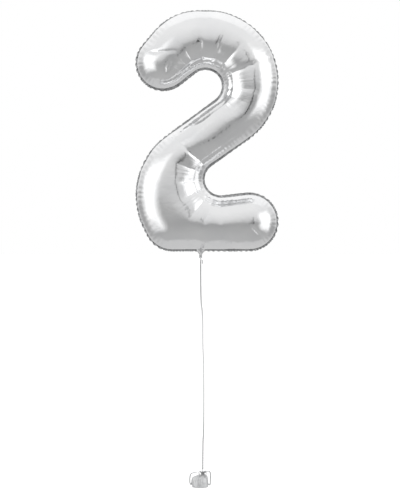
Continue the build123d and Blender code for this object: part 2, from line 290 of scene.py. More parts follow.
def make_weld_film_painted_shade():
    # Painted shade: the weld's dark grey stands in for the shadow in the gaps along its scalloped edge.
    material = finish("weld_film_painted_shade", (0.5, 0.505, 0.51), 1.0, 0.3)
    everywhere = stretched_coordinates(material)
    coarse = bump(material, noise_texture(material, everywhere, 130.0, 2.0, 0.5), 0.0006, 0.6)
    bump(material, noise_texture(material, everywhere, 900.0, 2.0), 0.00004, 0.5, coarse)
    between(material, noise_texture(material, everywhere, 60.0), "Roughness", 0.24, 0.38)
    # Painted shade: darker patches at random along the weld, for the shadows between its scallops.
    tint(material, noise_texture(material, everywhere, 55.0), (0.26, 0.265, 0.27), (0.58, 0.585, 0.59))
    return material


silver_film = make_silver_film()
weld_film_painted_shade = make_weld_film_painted_shade()
print("made", silver_film.name, weld_film_painted_shade.name)

# %% [markdown]
# ## Ribbon, bow and weight finishes
# Curling ribbon is a satin plastic strip with fine ridges along its length. The bow's ribbon is metallised
# and a little glossier. The weight's foil is duller than the balloon's film and crumpled, so its
# reflections break up into small facets. A texture of cells gives those facets, which plain noise can't.


# %% Ribbon, bow and weight finishes
def make_curling_ribbon():
    material = finish("curling_ribbon", (0.5, 0.505, 0.51), 0.6, 0.4)
    inputs = {"Vector": stretched_coordinates(material), "Scale": 520.0, "Distortion": 0.4}
    ridges = add_node(material.node_tree, "TexWave", inputs, bands_direction="X")
    bump(material, ridges.outputs["Fac"], 0.0001, 0.4)
    along = stretched_coordinates(material, (1.0, 1.0, 0.08))
    between(material, noise_texture(material, along, 260.0), "Roughness", 0.34, 0.48)
    tint(material, noise_texture(material, along, 120.0), (0.44, 0.445, 0.45), (0.54, 0.545, 0.55))
    return material


def make_bow_ribbon():
    material = finish("bow_ribbon", (0.5, 0.505, 0.51), 0.8, 0.34)
    everywhere = stretched_coordinates(material)
    coarse = bump(material, noise_texture(material, everywhere, 180.0, 2.0, 0.5), 0.0003, 0.5)
    bump(material, noise_texture(material, everywhere, 1400.0, 2.0), 0.00004, 0.5, coarse)
    between(material, noise_texture(material, everywhere, 300.0), "Roughness", 0.28, 0.42)
    tint(material, noise_texture(material, everywhere, 90.0), (0.44, 0.445, 0.45), (0.56, 0.565, 0.57))
    return material


def make_weight_foil():
    material = finish("weight_foil", (0.58, 0.585, 0.59), 0.7, 0.46)
    everywhere = stretched_coordinates(material)
    facets = add_node(material.node_tree, "TexVoronoi", {"Vector": everywhere, "Scale": 190.0})
    crumple = bump(material, facets.outputs["Distance"], 0.0006, 0.45)
    small = bump(material, noise_texture(material, everywhere, 420.0, 3.0, 1.0), 0.0003, 0.5, crumple)
    bump(material, noise_texture(material, everywhere, 1800.0, 2.0), 0.00003, 0.5, small)
    between(material, noise_texture(material, everywhere, 160.0), "Roughness", 0.4, 0.54)
    tint(material, noise_texture(material, everywhere, 80.0), (0.52, 0.525, 0.53), (0.64, 0.645, 0.65))
    return material


curling_ribbon = make_curling_ribbon()
bow_ribbon = make_bow_ribbon()
weight_foil = make_weight_foil()
print("made", curling_ribbon.name, bow_ribbon.name, weight_foil.name)

# %% [markdown]
# ## Hidden pieces
# The cup, slug and lid sit inside the wrap, the wire eye stands in its gather, and the valve lies inside the
# balloon. Their shapes come from the design as they are. They still get the finish of the real piece,
# because the object may be taken apart.


# %% Finishes of the hidden pieces
def make_moulded_plastic():
    material = finish("moulded_plastic", (0.82, 0.82, 0.8), 0.0, 0.45)
    everywhere = stretched_coordinates(material)
    bump(material, noise_texture(material, everywhere, 900.0), 0.00005, 0.4)
    between(material, noise_texture(material, everywhere, 60.0), "Roughness", 0.4, 0.52)
    tint(material, noise_texture(material, everywhere, 40.0), (0.78, 0.78, 0.76), (0.86, 0.86, 0.84))
    return material


def make_cast_iron():
    material = finish("cast_iron", (0.09, 0.09, 0.095), 0.85, 0.6)
    everywhere = stretched_coordinates(material)
    grain = bump(material, noise_texture(material, everywhere, 500.0, 6.0), 0.0003, 0.6)
    bump(material, noise_texture(material, everywhere, 2500.0), 0.00006, 0.5, grain)
    between(material, noise_texture(material, everywhere, 150.0), "Roughness", 0.5, 0.75)
    tint(material, noise_texture(material, everywhere, 90.0), (0.06, 0.06, 0.065), (0.13, 0.125, 0.12))
    return material


def make_bright_wire():
    material = finish("bright_wire", (0.6, 0.61, 0.63), 1.0, 0.28)
    drawn = stretched_coordinates(material, (1.0, 1.0, 0.1))
    bump(material, noise_texture(material, drawn, 1800.0), 0.00003, 0.5)
    between(material, noise_texture(material, drawn, 400.0), "Roughness", 0.22, 0.36)
    return material


def make_valve_film():
    material = finish("valve_film", (0.8, 0.81, 0.82), 0.2, 0.3, Transmission_Weight=0.5)
    everywhere = stretched_coordinates(material)
    bump(material, noise_texture(material, everywhere, 70.0, 3.0), 0.0004, 0.4)
    between(material, noise_texture(material, everywhere, 60.0), "Roughness", 0.22, 0.38)
    return material


hidden_finishes = {
    "weight_cup": make_moulded_plastic(),
    "weight_slug": make_cast_iron(),
    "wire_eye": make_bright_wire(),
    "valve_front_film": make_valve_film(),
}
hidden_finishes["weight_lid"] = hidden_finishes["weight_cup"]
hidden_finishes["valve_back_film"] = hidden_finishes["valve_front_film"]
for node, material in hidden_finishes.items():
    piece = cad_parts[node]
    piece.data.materials.clear()
    piece.data.materials.append(material)
print("finished", ", ".join(sorted(hidden_finishes)))

# %% [markdown]
# ## A flat strip along a path
# The ribbon, its cut end and the bow's loops are all flat strips. Each strip has a thin cupped section that
# is carried along the path on a side direction given at each point, with rounded edges so that it catches
# the light.


# %% The strip
def tube_faces(around, rings, closed=False):
    """Four-sided faces that join each ring of points to the next, and the last to the first if closed."""
    faces = []
    for i in range(rings if closed else rings - 1):
        here, there = i * around, (i + 1) % rings * around
        for k in range(around):
            n = (k + 1) % around
            faces.append((here + k, here + n, there + n, there + k))
    return faces


def strip(name, path, sides, width, thickness, material, cup=0.0, closed=False):
    """A flat band of the given width along path; sides[i] points across the band at path[i]."""
    path, sides = np.asarray(path), np.asarray(sides, dtype=float)
    sides = sides / np.linalg.norm(sides, axis=1)[:, None]
    if closed:
        tangents = np.roll(path, -1, 0) - np.roll(path, 1, 0)
    else:
        tangents = np.gradient(path, axis=0)
    faces_out = np.cross(tangents, sides)
    faces_out /= np.linalg.norm(faces_out, axis=1)[:, None]
    across = [-0.5, -0.47, -0.25, 0.0, 0.25, 0.47, 0.5]
    edge = [0.0, 0.5, 0.5, 0.5, 0.5, 0.5, 0.0]
    upper = list(zip(across, edge))
    lower = [(u, -t) for u, t in upper[-2:0:-1]]
    section = [(u * width, t * thickness + cup * (4 * u * u - 1)) for u, t in upper + lower]
    count, around = len(path), len(section)
    points = [path[i] + s * sides[i] + t * faces_out[i] for i in range(count) for s, t in section]
    faces = tube_faces(around, count, closed)
    if not closed:
        faces.append(tuple(range(around))[::-1])
        faces.append(tuple((count - 1) * around + k for k in range(around)))
    piece = new_object(name, points, faces)
    piece.data.materials.append(material)
    return piece


# %% [markdown]
# ## The free run of ribbon
# Flat ribbon that hangs under tension turns slowly about its own line. The knots hold both its ends square
# to the figure, so the turn grows from nothing at each end to its most half-way up. Giving the side
# directions this turn is simpler than twisting a finished mesh.

# %% The free run of ribbon
RIBBON_THICKNESS = 0.35 * MM
RIBBON_TWIST = 46  # degrees about its own line, half-way up
steps_up = np.linalg.norm(np.diff(ribbon_path, axis=0), axis=1)
share_up = np.concatenate([[0.0], np.cumsum(steps_up)]) / ribbon_length
ribbon_turn = math.radians(RIBBON_TWIST) * np.sin(math.pi * share_up) ** 2
ribbon_sides = np.stack([np.cos(ribbon_turn), np.sin(ribbon_turn), np.zeros(len(ribbon_turn))], 1)
RIBBON_CUP = 0.2 * MM
ribbon_section = (RIBBON_WIDTH, RIBBON_THICKNESS, curling_ribbon, RIBBON_CUP)
ribbon = strip("ribbon_run", ribbon_path, ribbon_sides, *ribbon_section)
print("ribbon strip", len(ribbon.data.polygons), "faces")

# %% [markdown]
# ## Knots
# A ribbon pulled tight bunches into a narrow bundle. Each knot is drawn as a small overhand knot: one
# smooth closed path that passes over and under itself, given a round bundle's thickness by the curve's
# bevel. A short strip of ribbon through its middle joins it to what comes in above and below.


# %% Knots
def joined(name, pieces):
    """One object from several."""
    bpy.ops.object.select_all(action="DESELECT")
    for piece in pieces:
        piece.select_set(True)
    bpy.context.view_layer.objects.active = pieces[0]
    bpy.ops.object.join()
    pieces[0].name = name
    return pieces[0]


def knot(name, centre, size, bundle, turn=0.0):
    """A small trefoil of bundled ribbon about a centre, fitting in a ball of radius size."""
    steps = 96
    path = []
    for i in range(steps):
        t = 2 * math.pi * i / steps
        x = math.sin(t) + 2 * math.sin(2 * t)
        z = math.cos(t) - 2 * math.cos(2 * t)
        depth = -1.1 * math.sin(3 * t)
        turned_x = x * math.cos(turn) - z * math.sin(turn)
        turned_z = x * math.sin(turn) + z * math.cos(turn)
        path.append((turned_x, depth, turned_z))
    reach = max(math.dist(p, (0, 0, 0)) for p in path)
    path = [Vector(centre) + Vector(p) * (size - bundle) / reach for p in path]
    curve = bpy.data.curves.new(name, "CURVE")
    curve.dimensions = "3D"
    curve.bevel_depth = bundle
    curve.bevel_resolution = 3
    spline = curve.splines.new("POLY")
    spline.points.add(steps - 1)
    for point, place in zip(spline.points, path):
        point.co = (*place, 1.0)
    spline.use_cyclic_u = True
    holder = bpy.data.objects.new(name, curve)
    mesh = bpy.data.meshes.new_from_object(holder)
    bpy.data.objects.remove(holder)
    mesh.shade_smooth()
    piece = bpy.data.objects.new(name, mesh)
    bpy.context.scene.collection.objects.link(piece)
    mesh.materials.clear()
    mesh.materials.append(curling_ribbon)
    core_points = 9
    core_path = [Vector(centre) + Vector((0.0, 0.0, size * up)) for up in np.linspace(-1.0, 1.0, core_points)]
    core_sides = [[math.cos(turn + k / 3), math.sin(turn + k / 3), 0.0] for k in range(core_points)]
    core = strip(f"{name}_core", core_path, core_sides, 2.2 * bundle, 0.9 * bundle, curling_ribbon)
    return joined(name, [piece, core])


def middle(node):
    """The middle of a design piece's box."""
    low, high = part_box(node)
    return [(a + b) / 2 for a, b in zip(low, high)]


def half_height(node):
    """Half the height of a design piece's box."""
    low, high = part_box(node)
    return (high[2] - low[2]) / 2


BUNDLE = 0.85 * MM
neck_knot = knot("neck_half_knot", middle("neck_knot"), half_height("neck_knot"), BUNDLE)
lower_size = half_height("ribbon_knot")
ribbon_knot = knot("ribbon_half_knot", middle("ribbon_knot"), lower_size, BUNDLE, math.radians(60))
print("knots about", [round(v, 4) for v in middle("neck_knot")], [round(v, 4) for v in middle("ribbon_knot")])

# %% [markdown]
# ## Turns round the neck
# The ribbon is wound round the gathered neck before it is knotted. The turns lie over each other at
# slightly different slants. A spiral would be truer, but closed bands that are each tipped their own way
# look the same and have no loose ends to hide.


# %% Turns round the neck
def round_band(name, centre, radii, width, tip, turn, material, steps=72):
    """A closed band round an upright axis, tipped by an angle about a horizontal line at turn degrees."""
    path = []
    for i in range(steps):
        angle = 2 * math.pi * i / steps
        lift = math.tan(math.radians(tip)) * radii[0] * math.cos(angle - math.radians(turn))
        offset = (radii[0] * math.cos(angle), radii[1] * math.sin(angle), lift)
        path.append([c + o for c, o in zip(centre, offset)])
    upright = np.tile([0.0, 0.0, 1.0], (steps, 1))
    return strip(name, path, upright, width, RIBBON_THICKNESS, material, 0.1 * MM, closed=True)


wraps_low, wraps_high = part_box("neck_wraps")
wraps_middle = middle("neck_wraps")
wraps_radii = [(wraps_high[0] - wraps_low[0]) / 2 - 0.7 * MM, (wraps_high[1] - wraps_low[1]) / 2 - 0.2 * MM]
# Each turn's height from the middle in mm, its tip and the way it is tipped in degrees, and its place outward
# in mm.
NECK_TURNS = [(-1.9, 8, 20, 0.0), (1.7, -7, 100, 0.15), (-0.2, 5, 200, 0.4)]
BUNCHED_WIDTH = 3.6 * MM  # of a ribbon that is wound tight or curls
turns = []
for number, (height, tip, turn, out) in enumerate(NECK_TURNS):
    place = (wraps_middle[0], wraps_middle[1], wraps_middle[2] + height * MM)
    radii = [radius + out * MM for radius in wraps_radii]
    turns.append(round_band(f"neck_turn_{number}", place, radii, BUNCHED_WIDTH, tip, turn, curling_ribbon))
neck_turns = joined("neck_turns", turns)
print("neck turns", len(NECK_TURNS), "of radii", [round(r, 4) for r in wraps_radii])

# %% [markdown]
# ## The knot on the weight
# At the bottom the ribbon goes once round the wire eye and is knotted just above it. The ring round the
# wire lies in an upright plane across the eye, where it stays clear of the ribbon when that leans.

# %% The knot on the weight
EYE_TOP = (9.8 * MM, 0.0, 56.2 * MM)
RING_RADIUS = 1.98 * MM
WEIGHT_KNOT_PLACE = (9.8 * MM, 0.0, 60.78 * MM)
KNOT_RADIUS = 2.6 * MM
RING_STEPS = 48
ring_path = []
for i in range(RING_STEPS):
    angle = 2 * math.pi * i / RING_STEPS
    ring_path.append((EYE_TOP[0], RING_RADIUS * math.cos(angle), EYE_TOP[2] + RING_RADIUS * math.sin(angle)))
ring_side = np.tile([1.0, 0.0, 0.0], (RING_STEPS, 1))
ring = strip("eye_ring", ring_path, ring_side, 2.0 * MM, 0.7 * MM, curling_ribbon, 0.1 * MM, closed=True)
tied = knot("weight_half_knot", WEIGHT_KNOT_PLACE, KNOT_RADIUS, BUNDLE, math.radians(35))
weight_knot = joined("weight_knot_tied", [tied, ring])
print("weight knot", [round(v, 4) for v in weight_knot.dimensions])

# %% [markdown]
# ## The cut end
# A short end of ribbon is left beside the upper knot, with the curl that a blade leaves in it. It is a
# strip along a curve again, with points that come from the box of the design's plain tag.

# %% The cut end
tag_low, tag_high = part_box("ribbon_tag_end")
tag_x = (tag_low[0] + tag_high[0]) / 2
tag_line = [
    middle("ribbon_knot"),
    (tag_x - 2.2 * MM, -0.8 * MM, tag_high[2] + 2.2 * MM),
    (tag_x + 0.4 * MM, -1.2 * MM, tag_high[2] + 0.2 * MM),
    (tag_x + 0.6 * MM, 0.6 * MM, (tag_low[2] + tag_high[2]) / 2),
    (tag_x + 1.6 * MM, -1.4 * MM, tag_low[2]),
]
tag_path = curve_points("cut_end_line", tag_line)
tag_side = np.tile([1.0, 0.35, 0.3], (len(tag_path), 1))
TAG_CUP = 0.3 * MM
tag_section = (BUNCHED_WIDTH, RIBBON_THICKNESS, curling_ribbon, TAG_CUP)
ribbon_tag = strip("ribbon_cut_end", tag_path, tag_side, *tag_section)
print("cut end", [round(v, 4) for v in (*tag_low, *tag_high)])

# %% [markdown]
# ## The figure's outline
# The seam's outline is a belt round eight pulleys: a belt bends round each pulley and runs straight between
# them. The three numbers of a pulley are its X, its height and its radius in millimetres. A negative radius
# is a bulge of the figure and a positive one a hollow. The belt can be taken in by a distance, which
# changes only the radii.

# %% The outline
PULLEYS = [
    (25.0, 1424.0, -244.0),  # right side of the bowl
    (72.0, 1081.0, 62.0),  # hollow where the diagonal meets the foot
    (172.0, 932.0, -97.0),  # rounded end of the foot
    (-98.0, 927.0, -92.0),  # heel corner
    (36.0, 1024.0, -255.0),  # long curve round the heel
    (20.0, 1408.0, 63.0),  # hollow under the bowl
    (-128.0, 1489.0, -92.0),  # rounded start of the stroke
    (-5.0, 1471.0, -197.0),  # left half of the top
]


def outline(inset=0.0):
    """The outline taken in by inset, as an array of (x, z) in millimetres."""
    wheels = [(x, z, radius + inset) for x, z, radius in PULLEYS]
    headings = []
    for (x, z, radius), (next_x, next_z, next_radius) in zip(wheels, wheels[1:] + wheels[:1]):
        lean = (next_radius - radius) / math.hypot(next_x - x, next_z - z)
        headings.append(math.atan2(next_z - z, next_x - x) - math.asin(lean))
    points = []
    for i, (x, z, radius) in enumerate(wheels):
        turn = (math.degrees(headings[i] - headings[i - 1]) + 180) % 360 - 180
        if radius < 0 < turn:
            turn -= 360
        if turn < 0 < radius:
            turn += 360
        count = max(6, int(abs(turn) / 1.5))
        for k in range(count + 1):
            heading = headings[i - 1] + math.radians(turn) * k / count
            points.append((x + radius * math.sin(heading), z - radius * math.cos(heading)))
    return np.array(points)


seam_outline = outline()
print("outline", seam_outline.min(0).round(1), seam_outline.max(0).round(1), "mm")

# %% [markdown]
# ## Creases
# Flat film can't follow a hollow in its outline without gathering, so a blown-up figure has sharp folds
# that fan out from each hollow and die out half-way across the stroke. Each fold here has a direction in
# degrees from the centre of its hollow, the distance at which it ends, its depth, and a lean that makes one
# of its sides the wider one. The film's mesh gets edges along these lines, so that a fold can be sharp.

# %% Fold lines
FOLDS = {
    "under_bowl": (
        (20.0, 1408.0, 63.0),
        [
            (152, 128, 2.0, 0.0),
            (134, 136, 2.6, 0.4),
            (119, 150, 3.4, -0.5),
            (97, 190, 5.0, 0.8),
            (71, 210, 5.0, -0.7),
            (49, 190, 5.5, 0.9),
            (24, 246, 6.0, -0.9),
            (-5, 184, 3.0, 0.5),
            (-24, 150, 2.0, -0.3),
        ],
    ),
    "inner_corner": (
        (72.0, 1081.0, 62.0),
        [
            (121, 150, 2.0, 0.2),
            (139, 224, 5.0, -0.8),
            (160, 160, 3.6, 0.7),
            (184, 150, 4.5, 0.0),
            (208, 150, 4.2, -0.8),
            (232, 176, 5.0, 0.6),
            (250, 188, 4.6, -0.6),
            (270, 162, 3.4, 0.4),
            (287, 140, 2.2, -0.4),
        ],
    ),
}
# Folds that no hollow makes. Each is aimed from a place outside the figure in the same way.
LONE_FOLDS = {
    "stroke_start": ((-150.0, 1340.0, 100.0), [(72, 172, 6.5, 0.9)]),
    "beside_the_start": ((-300.0, 1524.0, 116.0), [(0, 222, 3.4, -0.9)]),
    "foot_corner": ((272.0, 821.0, 76.0), [(135, 138, 5.0, 0.8)]),
}
ALL_FOLDS = [*FOLDS.values(), *LONE_FOLDS.values()]


def fold_places(points):
    """For each fold: distance from the hollow's centre, and across the fold, for all points."""
    for (x, z, hollow), folds in ALL_FOLDS:
        reach = np.hypot(points[:, 0] - x, points[:, 1] - z)
        direction = np.degrees(np.arctan2(points[:, 1] - z, points[:, 0] - x))
        for angle, end, depth, lean in folds:
            across = np.radians((direction - angle + 180) % 360 - 180) * reach
            yield hollow, end, depth, lean, reach, across


def fold_lines(step):
    """The folds as lists of (x, z), starting just inside the seam."""
    lines = []
    for (x, z, hollow), folds in ALL_FOLDS:
        for angle, end, *_ in folds:
            aim = math.radians(angle)
            reaches = np.linspace(hollow + 0.5 * step, end, max(3, int((end - hollow) / step)))
            lines.append(np.stack([x + reaches * math.cos(aim), z + reaches * math.sin(aim)], 1))
    return lines


print("folds", sum(len(folds) for _, folds in ALL_FOLDS))

# %% [markdown]
# ## Working along a loop
# The mesh has to know three things about a closed loop: points on it at equal steps, which places lie
# inside it, and how far along it and off it a place is. Arrays answer each for thousands of places at once,
# which a loop over Blender's own vectors would do slowly.


# %% Helpers for loops
def evenly(loop, step, phase):
    """A closed loop's points at equal steps."""
    closed = np.vstack([loop, loop[:1]])
    runs = np.hypot(*(closed[1:] - closed[:-1]).T)
    along = np.concatenate([[0.0], np.cumsum(runs)])
    count = int(round(along[-1] / step))
    places = (np.arange(count) + phase) * along[-1] / count
    return np.stack([np.interp(places, along, closed[:, 0]), np.interp(places, along, closed[:, 1])], 1)


def inside(points, loop):
    """Which points lie inside a closed loop."""
    x, z = points[:, 0], points[:, 1]
    result = np.zeros(len(points), bool)
    for (xa, za), (xb, zb) in zip(loop, np.roll(loop, 1, 0)):
        if za != zb:
            result ^= ((za > z) != (zb > z)) & (x < (xb - xa) * (z - za) / (zb - za) + xa)
    return result


def along_and_off(points, loop):
    """For each point, how far along the closed loop its nearest place is, and how far off."""
    start, step = loop, np.roll(loop, -1, 0) - loop
    squares = np.maximum((step**2).sum(1), 1e-9)
    begins = np.concatenate([[0.0], np.cumsum(np.sqrt(squares))[:-1]])
    along, off = np.empty(len(points)), np.empty(len(points))
    for i in range(0, len(points), 1000):
        some = points[i : i + 1000]
        share = np.clip(((some[:, None] - start) * step).sum(2) / squares, 0, 1)
        gaps = np.sqrt(((start + share[..., None] * step - some[:, None]) ** 2).sum(2))
        nearest = gaps.argmin(1)
        rows = np.arange(len(some))
        off[i : i + 1000] = gaps[rows, nearest]
        along[i : i + 1000] = begins[nearest] + share[rows, nearest] * np.sqrt(squares[nearest])
    return along, off


# %% [markdown]
# ## The film before it is blown up
# A tube of tight film is round in section, so the first shape rolls over from the seam on a circle. The
# mesh has rows of points that follow the seam, a plain grid in the middle of the stroke, and the fold
# lines. A triangulation that keeps those lines as edges joins them up.

# %% The film's mesh
FILM_STEP = 8.0
ROLL_RADIUS = 92.5
LAST_ROW = 72.0  # degrees round the roll


def film_mesh():
    """Flat places, heights, triangles, the number of seam points and the folds' edges."""
    folds = fold_lines(FILM_STEP)
    on_folds = np.vstack(folds)
    rows = []
    for i in range(int(math.radians(LAST_ROW) * ROLL_RADIUS / FILM_STEP) + 1):
        inset = ROLL_RADIUS * (1 - math.cos(i * FILM_STEP / ROLL_RADIUS))
        row = evenly(outline(inset), FILM_STEP, 0.5 * (i % 2))
        if i > 0:
            gaps = np.sqrt(((row[:, None] - on_folds) ** 2).sum(2)).min(1)
            row = row[gaps > 0.5 * FILM_STEP]
        rows.append(row)
    low, high = rows[-1].min(0), rows[-1].max(0)
    grid = []
    for k, z in enumerate(np.arange(low[1], high[1], 0.866 * FILM_STEP)):
        x = np.arange(low[0] + (k % 2) * FILM_STEP / 2, high[0], FILM_STEP)
        grid.append(np.stack([x, np.full_like(x, z)], 1))
    grid = np.vstack(grid)
    grid = grid[inside(grid, rows[-1])]
    grid = grid[along_and_off(grid, rows[-1])[1] > 0.55 * FILM_STEP]
    grid = grid[np.sqrt(((grid[:, None] - on_folds) ** 2).sum(2)).min(1) > 0.5 * FILM_STEP]
    edges, count = [], 0
    for row in rows:
        edges += [(count + i, count + (i + 1) % len(row)) for i in range(len(row))]
        count += len(row)
    fold_edges_from = len(edges)
    for line in folds:
        edges += [(count + i, count + i + 1) for i in range(len(line) - 1)]
        count += len(line)
    places = [Vector(p) for p in np.vstack([*rows, *folds, grid])]
    inside_edges_only = 1
    triangulated = delaunay_2d_cdt(places, edges, [], inside_edges_only, 1e-6)
    places, out_edges, triangles, _, edge_sources, _ = triangulated
    flat = np.array([tuple(p) for p in places])
    triangles = np.array([tuple(t) for t in triangles])
    triangles = triangles[inside(flat[triangles].mean(1), rows[0])]
    a, b, c = (flat[triangles[:, k]] for k in range(3))
    backward = (b - a)[:, 0] * (c - a)[:, 1] - (b - a)[:, 1] * (c - a)[:, 0] < 0
    triangles[backward] = triangles[backward][:, ::-1]
    assert np.allclose(flat[: len(rows[0])], rows[0])
    off = np.minimum(along_and_off(flat, seam_outline)[1], ROLL_RADIUS)
    heights = np.sqrt(ROLL_RADIUS**2 - (ROLL_RADIUS - off) ** 2)
    heights[: len(rows[0])] = 0.0
    sharp = []
    for edge, sources in zip(out_edges, edge_sources):
        if any(source >= fold_edges_from for source in sources):
            sharp.append(tuple(edge))
    return flat, heights, triangles, len(rows[0]), sharp


film_flat, film_heights, film_triangles, seam_count, fold_edges = film_mesh()
print("film", len(film_flat), "points", len(film_triangles), "triangles", seam_count, "on the seam")

# %% [markdown]
# ## Slack in the film
# Film that is cut flat has too much length at an outer seam once the stroke is round, and that length
# becomes puckers. The solver can give cloth slack by a vertex group that spreads it between two amounts.
# The group is 0 along an outer seam and 1 everywhere else. The seam round a hollow counts as elsewhere,
# because its film goes into folds instead.


# %% Slack
SLACK_EVERYWHERE = 0.012
SLACK_AT_SEAM = 0.06


def film_slack():
    """Where the film has its seam's slack: 0 along the outer seams, 1 everywhere else."""
    roll = np.degrees(np.arcsin(np.clip(film_heights / ROLL_RADIUS, 0, 1)))
    near_hollow = np.zeros(len(film_flat))
    for (x, z, hollow), _ in FOLDS.values():
        reach = np.hypot(film_flat[:, 0] - x, film_flat[:, 1] - z)
        near_hollow = np.maximum(near_hollow, np.clip((hollow + 110 - reach) / 50, 0, 1))
    return 1 - np.clip(1 - roll / 35, 0, 1) * (1 - near_hollow)


slack = film_slack()
print("slack weights from", round(float(slack.min()), 2), "to", round(float(slack.max()), 2))

# %% [markdown]
# ## One closed skin
# The two panels start as one closed skin that shares its points along the seam, because air can only press
# on something closed. Later each panel takes its own half back.


# %% The closed skin
def closed_skin():
    """Points in metres and triangles of the front and back together; the back shares the seam's points."""
    front = np.stack([film_flat[:, 0], -film_heights, film_flat[:, 1]], 1) * MM
    back = front[seam_count:] * [1, -1, 1]
    count = len(front)
    to_back = np.concatenate([np.arange(seam_count), np.arange(count, count + len(back))])
    return np.vstack([front, back]), np.vstack([film_triangles, to_back[film_triangles][:, ::-1]]), to_back


skin_points, skin_triangles, to_back = closed_skin()
print("closed skin", len(skin_points), "points")

# %% [markdown]
# ## Blowing it up
# The cloth solver presses the skin outward from inside. Film hardly stretches, so the tension is high; a
# little slack everywhere lets the skin settle into its own buckles. The seam itself is pinned, because it
# already has its blown-up outline. The air pushes the film only for long enough to settle it. The start is
# shaken by a hair's breadth from a fixed seed, because a perfectly even skin has no reason to buckle one
# way or the other.

# %% Inflation
SETTLE_FRAMES = 20
SHAKE = 0.15 * MM
SHAKE_SEED = 3
RELAX_PASSES = 8


def inflate(points, triangles, slack):
    """Lets the cloth solver settle the skin under its inner pressure and reads the points back."""
    start = points + np.random.default_rng(SHAKE_SEED).normal(0, SHAKE, points.shape)
    skin = new_object("skin", start, triangles)
    weights = skin.vertex_groups.new(name="slack")
    for i, weight in enumerate(slack):
        weights.add([i], float(weight), "REPLACE")
    pins = skin.vertex_groups.new(name="pins")
    pins.add(list(range(seam_count)), 1.0, "REPLACE")
    modifier = skin.modifiers.new("inflate", "CLOTH")
    cloth = modifier.settings
    cloth.quality = 7
    cloth.mass = 0.05
    cloth.air_damping = 1.0
    cloth.tension_stiffness = 120
    cloth.compression_stiffness = 60
    cloth.shear_stiffness = 20
    cloth.bending_stiffness = 2.0
    cloth.tension_damping = cloth.compression_damping = cloth.shear_damping = 5
    cloth.use_pressure = True
    cloth.uniform_pressure_force = 10
    cloth.effector_weights.gravity = 0
    cloth.vertex_group_shrink = "slack"
    cloth.shrink_min = -SLACK_AT_SEAM
    cloth.shrink_max = -SLACK_EVERYWHERE
    cloth.vertex_group_mass = "pins"
    cloth.pin_stiffness = 1.0
    modifier.collision_settings.use_collision = False
    modifier.point_cache.frame_end = SETTLE_FRAMES
    for frame_number in range(1, SETTLE_FRAMES + 1):
        bpy.context.scene.frame_set(frame_number)
    settled = points_of(skin)
    bpy.context.scene.frame_set(1)
    bpy.data.objects.remove(skin)
    return settled


def relaxed(points, triangles, times):
    """Takes out the smallest crumples: every point but the seam's moves half-way to its neighbours' mean."""
    pairs = np.vstack([triangles[:, [0, 1]], triangles[:, [1, 2]], triangles[:, [2, 0]]])
    count = np.bincount(pairs[:, 0], minlength=len(points))[:, None]
    for _ in range(times):
        total = np.zeros_like(points)
        np.add.at(total, pairs[:, 0], points[pairs[:, 1]])
        moved = 0.5 * points + 0.5 * total / np.maximum(count, 1)
        moved[:seam_count] = points[:seam_count]
        points = moved
    return points


skin_points = inflate(skin_points, skin_triangles, np.concatenate([slack, slack[seam_count:]]))
skin_points = relaxed(skin_points, skin_triangles, RELAX_PASSES)
print("skin", skin_points.min(0).round(3), skin_points.max(0).round(3))

# %% [markdown]
# ## Pressing in the folds
# A real fold is a sharp valley with gently rounded film on both sides. Cloth at this mesh size can't hold
# one, so each fold is pressed in along its line, deepest at the line and fading to both sides. The surface
# is then divided once into finer faces. A crease weight keeps the fold's edges sharp while everything else
# gets rounder.


# %% Folding
FOLD_RISE = 26  # mm from the seam to a fold's full depth
FOLD_WIDTH = 16  # mm over which a fold fades to its sides
FOLD_LEAN = 10  # mm that the wider side gains and the other loses, at a lean of 1
FOLD_CREASE = 0.9


def fold_depths(share):
    """How far each point of a panel is pressed in, in millimetres."""
    pressed = np.zeros(len(film_flat))
    for hollow, end, depth, lean, reach, across in fold_places(film_flat):
        rising = np.clip((reach - hollow) / FOLD_RISE, 0, 1)
        fading = np.clip((end + 6 - reach) / (0.5 * (end - hollow)), 0, 1)
        side_width = FOLD_WIDTH + FOLD_LEAN * lean * np.sign(across)
        width = (0.6 + 0.4 * (reach - hollow) / (end - hollow)) * side_width
        pressed += share * depth * rising * fading * np.exp(-np.abs(across) / width)
    pressed[:seam_count] = 0.0
    return pressed


def subdivided(name, points, triangles, sharp):
    """The surface divided once, with its sharp edges kept, as arrays of points and faces."""
    coarse = new_object(name, points, triangles)
    coarse.data.attributes.new("crease_edge", "FLOAT", "EDGE")
    creases = coarse.data.attributes["crease_edge"]
    pairs = {tuple(sorted(pair)) for pair in sharp}
    for edge in coarse.data.edges:
        if tuple(sorted(edge.vertices)) in pairs:
            creases.data[edge.index].value = FOLD_CREASE
    modifier = coarse.modifiers.new("divide", "SUBSURF")
    modifier.levels = modifier.render_levels = 1
    mesh = coarse.evaluated_get(bpy.context.evaluated_depsgraph_get()).data
    fine = np.array([tuple(v.co) for v in mesh.vertices])
    faces = [tuple(p.vertices) for p in mesh.polygons]
    bpy.data.objects.remove(coarse)
    return fine, faces


print("deepest press", round(float(fold_depths(1.0).max()), 1), "mm")

# %% [markdown]
# ## Puckers along the seam
# Where the outline bulges, short puckers stand side by side along the seam and die out within a few
# centimetres. At a hollow the film is bunched into a rim with a groove inside it instead. Both are too
# small for the solver, so they move the fine points along their normals by a wave that runs with the seam
# and wanders a little.


# %% Puckers
PUCKER_LENGTH = 19.0
PUCKER_DEPTH = 1.7
BUNCH_LENGTH = 13.0
RIM_PLACE, RIM_WIDTH, RIM_HEIGHT = 12.0, 9.0, 1.3
GROOVE_PLACE, GROOVE_WIDTH, GROOVE_DEPTH = 25.0, 6.0, 2.0


def outer_share(points):
    """1 where the nearest seam bulges outward and 0 at the hollows, for points (x, z) in millimetres."""
    share = np.ones(len(points))
    for (x, z, hollow), _ in FOLDS.values():
        reach = np.hypot(points[:, 0] - x, points[:, 1] - z)
        share = np.minimum(share, np.clip((reach - hollow - 60) / 60, 0, 1))
    return share


